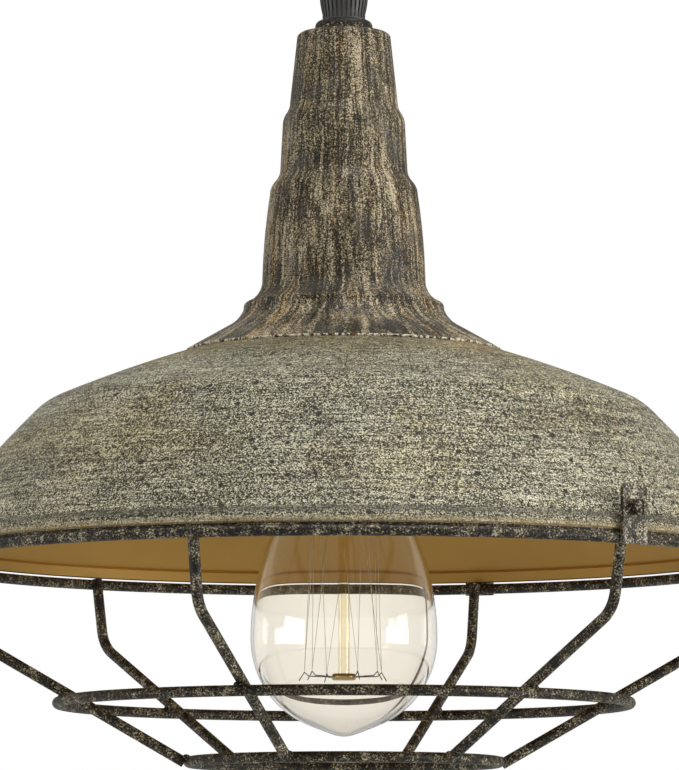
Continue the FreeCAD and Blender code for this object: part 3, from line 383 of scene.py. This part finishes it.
MATERIALS = {
    "weathered_shade": weathered_shade(),
    "weathered_neck": weathered_neck(),
    "dark_bronze": dark_bronze(),
    "speckled_strap": dark_bronze("speckled_strap", 0.13),
    "collar_brown": dark_bronze("collar_brown", -0.10),
    "grip_plastic": moulded("grip_plastic", (0.062, 0.060, 0.058), 0.46),
    "grommet_rubber": moulded("grommet_rubber", (0.014, 0.014, 0.014), 0.62),
    "nylon": moulded("nylon", (0.62, 0.60, 0.54), 0.45),
    "clip_screw_steel": dark_bronze("clip_screw_steel", 0.08),
    "zinc_steel": plain_metal("zinc_steel", (0.60, 0.60, 0.58), 0.34),
    "porcelain": porcelain(),
    "brass": plain_metal("brass", (0.78, 0.56, 0.24), 0.28),
    "cap_brass": plain_metal("cap_brass", (0.80, 0.60, 0.28), 0.26),
    "solder": plain_metal("solder", (0.62, 0.62, 0.60), 0.48),
    "black_glass": moulded("black_glass", (0.010, 0.010, 0.012), 0.20),
    "amber_glass": clear_glass("amber_glass", (0.985, 0.955, 0.885)),
    # The stem is clear glass; its golden tint is a painted reflection of the shade's gold inside.
    "stem_glass": clear_glass("stem_glass", (0.94, 0.86, 0.66)),
    # The stem's bead is clear glass; its gold metal colour here is a painted reflection of the shade's
    # gold inside.
    "bead_glass": plain_metal("bead_glass", (0.70, 0.50, 0.20), 0.22),
    "support_wire": plain_metal("support_wire", (0.16, 0.14, 0.11), 0.45, 0.2),
    "filament": plain_metal("filament", (0.86, 0.80, 0.68), 0.55, 0.0),
}


# ---- new pieces


def object_from(name, build):
    mesh = bpy.data.meshes.new(name)
    build.to_mesh(mesh)
    build.free()
    made = bpy.data.objects.new(name, mesh)
    bpy.context.scene.collection.objects.link(made)
    return made


def smooth(made, levels=0):
    """Smooth shading, with a subdivision surface where levels is more than 0."""
    for face in made.data.polygons:
        face.use_smooth = True
    if levels:
        rounding = made.modifiers.new("rounding", "SUBSURF")
        rounding.levels = rounding.render_levels = levels
    return made


def spun(profile, sides):
    """A closed profile of (radius, height) turned about the lamp's axis. Radius 0 makes a pole."""
    build = bmesh.new()
    rings = []
    for radius, height in profile:
        count = 1 if radius == 0.0 else sides
        ring = []
        for index in range(count):
            turn = math.tau * index / sides
            ring.append(build.verts.new((radius * math.cos(turn), radius * math.sin(turn), height)))
        rings.append(ring)
    for ring, after in zip(rings, rings[1:] + rings[:1]):
        if len(ring) == len(after) == 1:
            continue
        for index in range(sides):
            here, there = index % len(ring), (index + 1) % len(ring)
            over, beyond = index % len(after), (index + 1) % len(after)
            corners = [ring[here], ring[there], after[beyond], after[over]]
            build.faces.new(list(dict.fromkeys(corners)))
    bmesh.ops.recalc_face_normals(build, faces=build.faces)
    return build


def outer_profile(node, middle, count):
    """The outside of a turned node as count (radius, height) points, evenly spaced, from its foot up.
    middle is the height of a point on the axis inside it: the outside faces away from there."""
    centre = Vector((0.0, 0.0, middle))
    points = []
    for corner in cad_nodes[node].data.vertices:
        if corner.normal.dot(corner.co - centre) > 0.0:
            points.append((round(corner.co.z, 4), math.hypot(corner.co.x, corner.co.y)))
    widest = dict(sorted(points))
    levels = sorted(widest)
    travelled = [0.0]
    for below, above in zip(levels, levels[1:]):
        travelled.append(travelled[-1] + math.hypot(above - below, widest[above] - widest[below]))
    outline = []
    for index in range(count):
        goal = travelled[-1] * index / (count - 1)
        after = min(max(1, bisect.bisect_left(travelled, goal)), len(levels) - 1)
        share = (goal - travelled[after - 1]) / (travelled[after] - travelled[after - 1])
        start, end = levels[after - 1], levels[after]
        radius = widest[start] + share * (widest[end] - widest[start])
        outline.append((radius, start + share * (end - start)))
    return outline


def set_inwards(outline, thickness):
    """The outline moved inwards by thickness(height)."""
    inner = []
    for index, (radius, height) in enumerate(outline):
        before = outline[max(index - 1, 0)]
        after = outline[min(index + 1, len(outline) - 1)]
        along = (after[0] - before[0], after[1] - before[1])
        reach = thickness(height) / math.hypot(*along)
        inner.append((radius - along[1] * reach, height + along[0] * reach))
    return inner


def bulb_glass():
    """The bulb's glass as one smooth turned shell, thickest at the tip, where the glass gathers."""
    low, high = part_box("bulb_glass")
    foot, top = low[2], high[2]
    tip_wall, neck_wall = 0.0015, 0.0008

    def wall(height):
        rise = min(max((height - foot) / (top - foot), 0.0), 1.0)
        return tip_wall - (tip_wall - neck_wall) * rise

    outer = outer_profile("bulb_glass", 0.5 * (foot + top), 56)
    outer[0] = (0.0, foot)
    inner = set_inwards(outer, wall)
    inner[0] = (0.0, foot + wall(foot))
    made = smooth(object_from("bulb_shell", spun(outer + inner[::-1], 96)), 1)
    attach(made, "bulb")
    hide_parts("bulb_glass")
    made.data.materials.append(MATERIALS["amber_glass"])


def lamp_piece(made, slot):
    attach(made, "lamp")
    made.data.materials.append(MATERIALS[slot])


def ring_circle(node):
    """A ring's wire: the radius and height of its centre line, and the wire's own radius."""
    low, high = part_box(node)
    wire = 0.5 * (high[2] - low[2])
    return high[0] - wire, 0.5 * (low[2] + high[2]), wire


def contact(node, ring):
    """The turn at which a bar or strap meets a ring, and its nearest point to the ring's wire."""
    mesh = cad_nodes[node].data
    corners = [corner.co for corner in mesh.vertices]
    middle = sum(corners, Vector()) / len(corners)
    turn = math.atan2(middle.y, middle.x)
    radius, height, _ = ring_circle(ring)
    tree = BVHTree.FromPolygons(corners, [face.vertices for face in mesh.polygons])
    spot = tree.find_nearest(Vector((radius * math.cos(turn), radius * math.sin(turn), height)))[0]
    return turn, spot


def welds():
    """A bead of weld, drawn out along the ring, wherever a bar or a strap meets one. All differ."""
    chance = random.Random(11)
    lump_depth, lumps_per_metre = 0.00016, 900.0
    meetings = [(part, ring) for part in cad_nodes if part.startswith("cage_bar") for ring in RINGS]
    meetings += [(part, RINGS[0]) for part in cad_nodes if part.startswith("clip_strap")]
    build = bmesh.new()
    for part, ring in sorted(meetings):
        turn, spot = contact(part, ring)
        bead = ring_circle(ring)[2] * chance.uniform(0.68, 0.82)
        shape = Matrix.Diagonal((bead, bead * chance.uniform(1.5, 1.9), bead, 1.0))
        spin = Matrix.Rotation(turn, 4, "Z") @ Matrix.Rotation(chance.uniform(-0.3, 0.3), 4, "X")
        place = Matrix.Translation(spot) @ spin @ shape
        bmesh.ops.create_icosphere(build, subdivisions=3, radius=1.0, matrix=place)
    for corner in build.verts:
        corner.co += lump_depth * noise.noise_vector(corner.co * lumps_per_metre)
    lamp_piece(smooth(object_from("welds", build)), "dark_bronze")


def gap_shadow_line():
    """A dark ring of painted shade that fills the gap between the shade's lip and the cage's top ring,
    on the front half.
    """
    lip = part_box("shade")[0][2]
    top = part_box(RINGS[0])[1][2]
    radius = ring_circle(RINGS[0])[0]
    overlap, sides, back = 0.00012, 10, 0.02
    half = 0.5 * (lip - top) + overlap
    turns = [math.tau * index / sides for index in range(sides)]
    section = [(radius + half * math.cos(t), 0.5 * (lip + top) + half * math.sin(t)) for t in turns]
    line = spun(section, 240)
    # Only the half towards the camera is kept: the painted shade goes where the gap is seen.
    behind = [corner for corner in line.verts if corner.co.y > back]
    bmesh.ops.delete(line, geom=behind, context="VERTS")
    lamp_piece(smooth(object_from("gap_shadow_line", line)), "dark_bronze")


bulb_glass()
welds()
gap_shadow_line()


# ---- the CAD nodes keep their meshes and take their slot's material

for part in frame["record"]["subparts"]:
    node = cad_nodes[part["node"]]
    node.data.materials.clear()
    node.data.materials.append(MATERIALS[part["material_slot"]])


# ---- camera, light and floor


def aimed(thing, place, target):
    thing.location = place
    thing.rotation_euler = (Vector(target) - Vector(place)).to_track_quat("-Z", "Y").to_euler()
    bpy.context.scene.collection.objects.link(thing)
    return thing


def softbox(name, place, width, height, power):
    """A soft light that faces the lamp's middle and isn't seen by the camera itself."""
    data = bpy.data.lights.new(name, "AREA")
    data.shape = "RECTANGLE"
    data.size = width
    data.size_y = height
    data.energy = power
    made = aimed(bpy.data.objects.new(name, data), place, (0.0, 0.0, -0.16))
    made.visible_camera = False


def camera():
    """The photograph's view: 1.79 m in front of the axis, 6 cm below the foot, looking 6 degrees up."""
    data = bpy.data.cameras.new("camera")
    data.lens = 247.33
    data.clip_start = 0.05
    eye = Vector((-0.0015, -1.792, -0.334))
    rise = math.radians(6.096)
    ahead = Vector((0.0, math.cos(rise), math.sin(rise)))
    bpy.context.scene.camera = aimed(bpy.data.objects.new("camera", data), eye, eye + ahead)


def world():
    """White where the camera looks past the lamp, and where a look through glass comes out in front
    or behind. Everywhere else it is dimmer: the room around a white backdrop."""
    made = bpy.data.worlds.new("world")
    bpy.context.scene.world = made
    made.use_nodes = True
    room = 0.37
    nodes = Nodes(made.node_tree)
    path = nodes.node("LightPath").outputs
    direction = nodes.node("SeparateXYZ", {0: nodes.node("TexCoord").outputs["Generated"]}).outputs
    depth = nodes.step(nodes.math("ABSOLUTE", direction["Y"]), 0.35, 0.75)
    through = nodes.math("MULTIPLY", path["Is Transmission Ray"], depth)
    white = nodes.math("MAXIMUM", path["Is Camera Ray"], through)
    background = made.node_tree.nodes["Background"]
    nodes.feed(background, "Color", opaque((1.0, 1.0, 1.0)))
    nodes.feed(background, "Strength", nodes.blend(white, room, 1.0))


def floor():
    """A plain pale floor, well below the hanging lamp."""
    reach, level = 14.0, -3.5
    corners = [(x * reach, y * reach, level) for x, y in ((-1, -1), (1, -1), (1, 1), (-1, 1))]
    mesh = bpy.data.meshes.new("floor")
    mesh.from_pydata(corners, [], [(0, 1, 2, 3)])
    made = bpy.data.objects.new("floor", mesh)
    bpy.context.scene.collection.objects.link(made)
    surface = {"Base_Color": (0.90, 0.90, 0.89), "Roughness": 0.8}
    glow = {"Emission_Color": (1.0, 1.0, 1.0), "Emission_Strength": 0.14}
    mesh.materials.append(Paint("floor", **surface, **glow).material)


camera()
world()
floor()
softbox("light_over", (0.25, -0.35, 1.1), 1.2, 0.9, 10.0)
softbox("light_right", (1.35, -0.50, -0.23), 0.8, 0.24, 10.0)
softbox("light_left", (-1.40, -0.30, -0.23), 0.8, 0.24, 3.5)
bpy.context.scene.view_settings.view_transform = "Standard"
